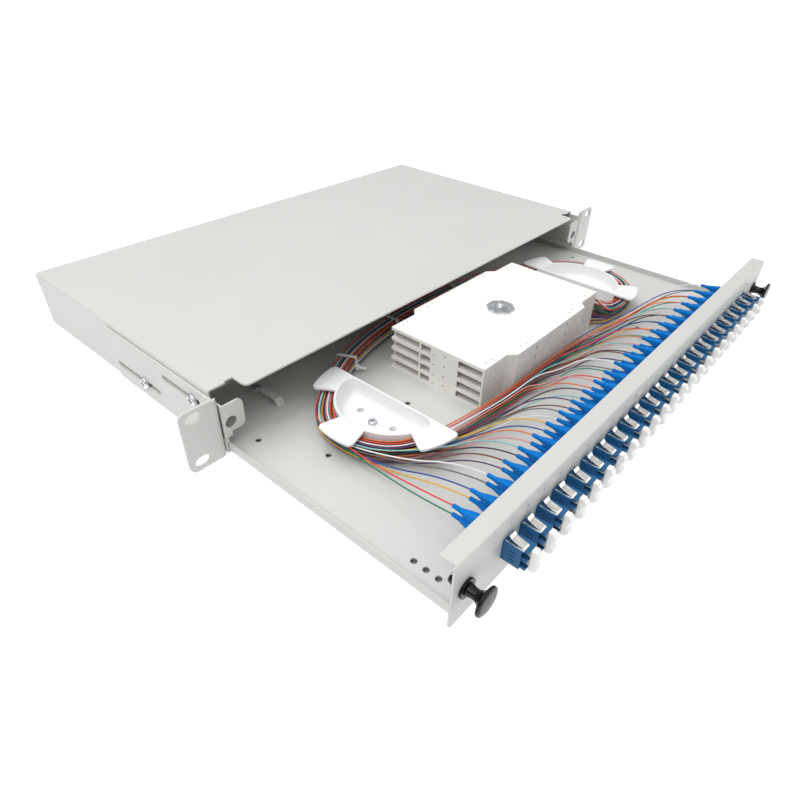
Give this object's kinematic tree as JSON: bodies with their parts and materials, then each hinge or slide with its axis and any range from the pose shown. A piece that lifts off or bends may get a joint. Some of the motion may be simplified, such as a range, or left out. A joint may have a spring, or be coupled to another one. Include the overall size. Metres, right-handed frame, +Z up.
{
  "type": "fiber termination box",
  "caption": "Rack-mount sliding-drawer fibre patch and splice box: sheet-steel housing, drawer with a row of duplex ports, stacked splice trays, bend guides and pull latches.",
  "frame": {"origin": "centre of the four rack slots, on the front face of the rack ears", "axes": "+X right seen from the front, +Y to the rear, +Z up; the drawer opens towards -Y"},
  "size_m": [0.4826, 0.4344, 0.0437],
  "materials": {
    "powder_coat": "fine-textured semi-matte powder coat, warm light grey",
    "zinc_steel": "bright zinc plate",
    "spring_steel": "bright rolled steel",
    "cream_plastic": "satin moulded ABS",
    "white_plastic": "smooth moulded ABS",
    "black_rubber": "matt",
    "clear_tube": "translucent heat-shrink tube",
    "clear_nylon": "translucent nylon",
    "adapter_blue": "moulded PBT, satin",
    "boot_blue": "bright blue moulding",
    "fibre_coating": "0.9 mm tight buffer, twelve colours in turn",
    "black_nylon": "glossy black nylon",
    "cap_white": "milky translucent polyethylene"
  },
  "bodies": {
    "housing": {"top_cover": "powder_coat", "base_pan": "powder_coat", "rack_ear_left": "powder_coat", "rack_ear_right": "powder_coat", "ear_screws": "zinc_steel", "cover_screws": "zinc_steel", "guide_bracket_left": "powder_coat", "guide_bracket_right": "powder_coat", "cable_grommets": "black_rubber"},
    "drawer": {"drawer_tray": "powder_coat", "front_panel": "powder_coat", "splice_tray_1": "cream_plastic", "splice_tray_2": "cream_plastic", "splice_tray_3": "cream_plastic", "splice_tray_4": "cream_plastic", "splice_lid": "cream_plastic", "splice_sleeves": "clear_tube", "tray_stud": "zinc_steel", "clamp_washer": "zinc_steel", "clamp_nut": "zinc_steel", "fibre_spool_left": "white_plastic", "fibre_spool_right": "white_plastic", "drawer_screws": "zinc_steel", "cable_clamp_arm": "powder_coat", "cable_ties": "clear_nylon", "adapters": "adapter_blue", "adapter_clips": "spring_steel", "lc_connectors": "boot_blue", "lc_boots": "boot_blue", "pigtails_tray_1": "fibre_coating", "pigtails_tray_2": "fibre_coating", "pigtails_tray_3": "fibre_coating", "pigtails_tray_4": "fibre_coating", "latch_grommets": "black_nylon"},
    "latch_left": {"latch_left": "black_nylon"},
    "latch_right": {"latch_right": "black_nylon"},
    "cap_01": {"dust_cap_01": "cap_white"},
    "cap_02": {"dust_cap_02": "cap_white"},
    "cap_03": {"dust_cap_03": "cap_white"},
    "cap_04": {"dust_cap_04": "cap_white"},
    "cap_05": {"dust_cap_05": "cap_white"},
    "cap_06": {"dust_cap_06": "cap_white"},
    "cap_07": {"dust_cap_07": "cap_white"},
    "cap_08": {"dust_cap_08": "cap_white"},
    "cap_09": {"dust_cap_09": "cap_white"},
    "cap_10": {"dust_cap_10": "cap_white"},
    "cap_11": {"dust_cap_11": "cap_white"},
    "cap_12": {"dust_cap_12": "cap_white"},
    "cap_13": {"dust_cap_13": "cap_white"},
    "cap_14": {"dust_cap_14": "cap_white"},
    "cap_15": {"dust_cap_15": "cap_white"},
    "cap_16": {"dust_cap_16": "cap_white"},
    "cap_17": {"dust_cap_17": "cap_white"},
    "cap_18": {"dust_cap_18": "cap_white"},
    "cap_19": {"dust_cap_19": "cap_white"},
    "cap_20": {"dust_cap_20": "cap_white"},
    "cap_21": {"dust_cap_21": "cap_white"},
    "cap_22": {"dust_cap_22": "cap_white"},
    "cap_23": {"dust_cap_23": "cap_white"},
    "cap_24": {"dust_cap_24": "cap_white"}
  },
  "joints": [
    {"name": "drawer_slide", "type": "slide", "parent": "housing", "child": "drawer", "axis": [0, -1, 0], "range_m": [-0.172, 0]},
    {"name": "latch_left_pull", "type": "slide", "parent": "drawer", "child": "latch_left", "axis": [0, -1, 0], "range_m": [0, 0.005]},
    {"name": "latch_right_pull", "type": "slide", "parent": "drawer", "child": "latch_right", "axis": [0, -1, 0], "range_m": [0, 0.005]},
    {"name": "cap_01_pull", "type": "slide", "parent": "drawer", "child": "cap_01", "axis": [0, -1, 0], "range_m": [0, 0.012]},
    {"name": "cap_02_pull", "type": "slide", "parent": "drawer", "child": "cap_02", "axis": [0, -1, 0], "range_m": [0, 0.012]},
    {"name": "cap_03_pull", "type": "slide", "parent": "drawer", "child": "cap_03", "axis": [0, -1, 0], "range_m": [0, 0.012]},
    {"name": "cap_04_pull", "type": "slide", "parent": "drawer", "child": "cap_04", "axis": [0, -1, 0], "range_m": [0, 0.012]},
    {"name": "cap_05_pull", "type": "slide", "parent": "drawer", "child": "cap_05", "axis": [0, -1, 0], "range_m": [0, 0.012]},
    {"name": "cap_06_pull", "type": "slide", "parent": "drawer", "child": "cap_06", "axis": [0, -1, 0], "range_m": [0, 0.012]},
    {"name": "cap_07_pull", "type": "slide", "parent": "drawer", "child": "cap_07", "axis": [0, -1, 0], "range_m": [0, 0.012]},
    {"name": "cap_08_pull", "type": "slide", "parent": "drawer", "child": "cap_08", "axis": [0, -1, 0], "range_m": [0, 0.012]},
    {"name": "cap_09_pull", "type": "slide", "parent": "drawer", "child": "cap_09", "axis": [0, -1, 0], "range_m": [0, 0.012]},
    {"name": "cap_10_pull", "type": "slide", "parent": "drawer", "child": "cap_10", "axis": [0, -1, 0], "range_m": [0, 0.012]},
    {"name": "cap_11_pull", "type": "slide", "parent": "drawer", "child": "cap_11", "axis": [0, -1, 0], "range_m": [0, 0.012]},
    {"name": "cap_12_pull", "type": "slide", "parent": "drawer", "child": "cap_12", "axis": [0, -1, 0], "range_m": [0, 0.012]},
    {"name": "cap_13_pull", "type": "slide", "parent": "drawer", "child": "cap_13", "axis": [0, -1, 0], "range_m": [0, 0.012]},
    {"name": "cap_14_pull", "type": "slide", "parent": "drawer", "child": "cap_14", "axis": [0, -1, 0], "range_m": [0, 0.012]},
    {"name": "cap_15_pull", "type": "slide", "parent": "drawer", "child": "cap_15", "axis": [0, -1, 0], "range_m": [0, 0.012]},
    {"name": "cap_16_pull", "type": "slide", "parent": "drawer", "child": "cap_16", "axis": [0, -1, 0], "range_m": [0, 0.012]},
    {"name": "cap_17_pull", "type": "slide", "parent": "drawer", "child": "cap_17", "axis": [0, -1, 0], "range_m": [0, 0.012]},
    {"name": "cap_18_pull", "type": "slide", "parent": "drawer", "child": "cap_18", "axis": [0, -1, 0], "range_m": [0, 0.012]},
    {"name": "cap_19_pull", "type": "slide", "parent": "drawer", "child": "cap_19", "axis": [0, -1, 0], "range_m": [0, 0.012]},
    {"name": "cap_20_pull", "type": "slide", "parent": "drawer", "child": "cap_20", "axis": [0, -1, 0], "range_m": [0, 0.012]},
    {"name": "cap_21_pull", "type": "slide", "parent": "drawer", "child": "cap_21", "axis": [0, -1, 0], "range_m": [0, 0.012]},
    {"name": "cap_22_pull", "type": "slide", "parent": "drawer", "child": "cap_22", "axis": [0, -1, 0], "range_m": [0, 0.012]},
    {"name": "cap_23_pull", "type": "slide", "parent": "drawer", "child": "cap_23", "axis": [0, -1, 0], "range_m": [0, 0.012]},
    {"name": "cap_24_pull", "type": "slide", "parent": "drawer", "child": "cap_24", "axis": [0, -1, 0], "range_m": [0, 0.012]}
  ]
}
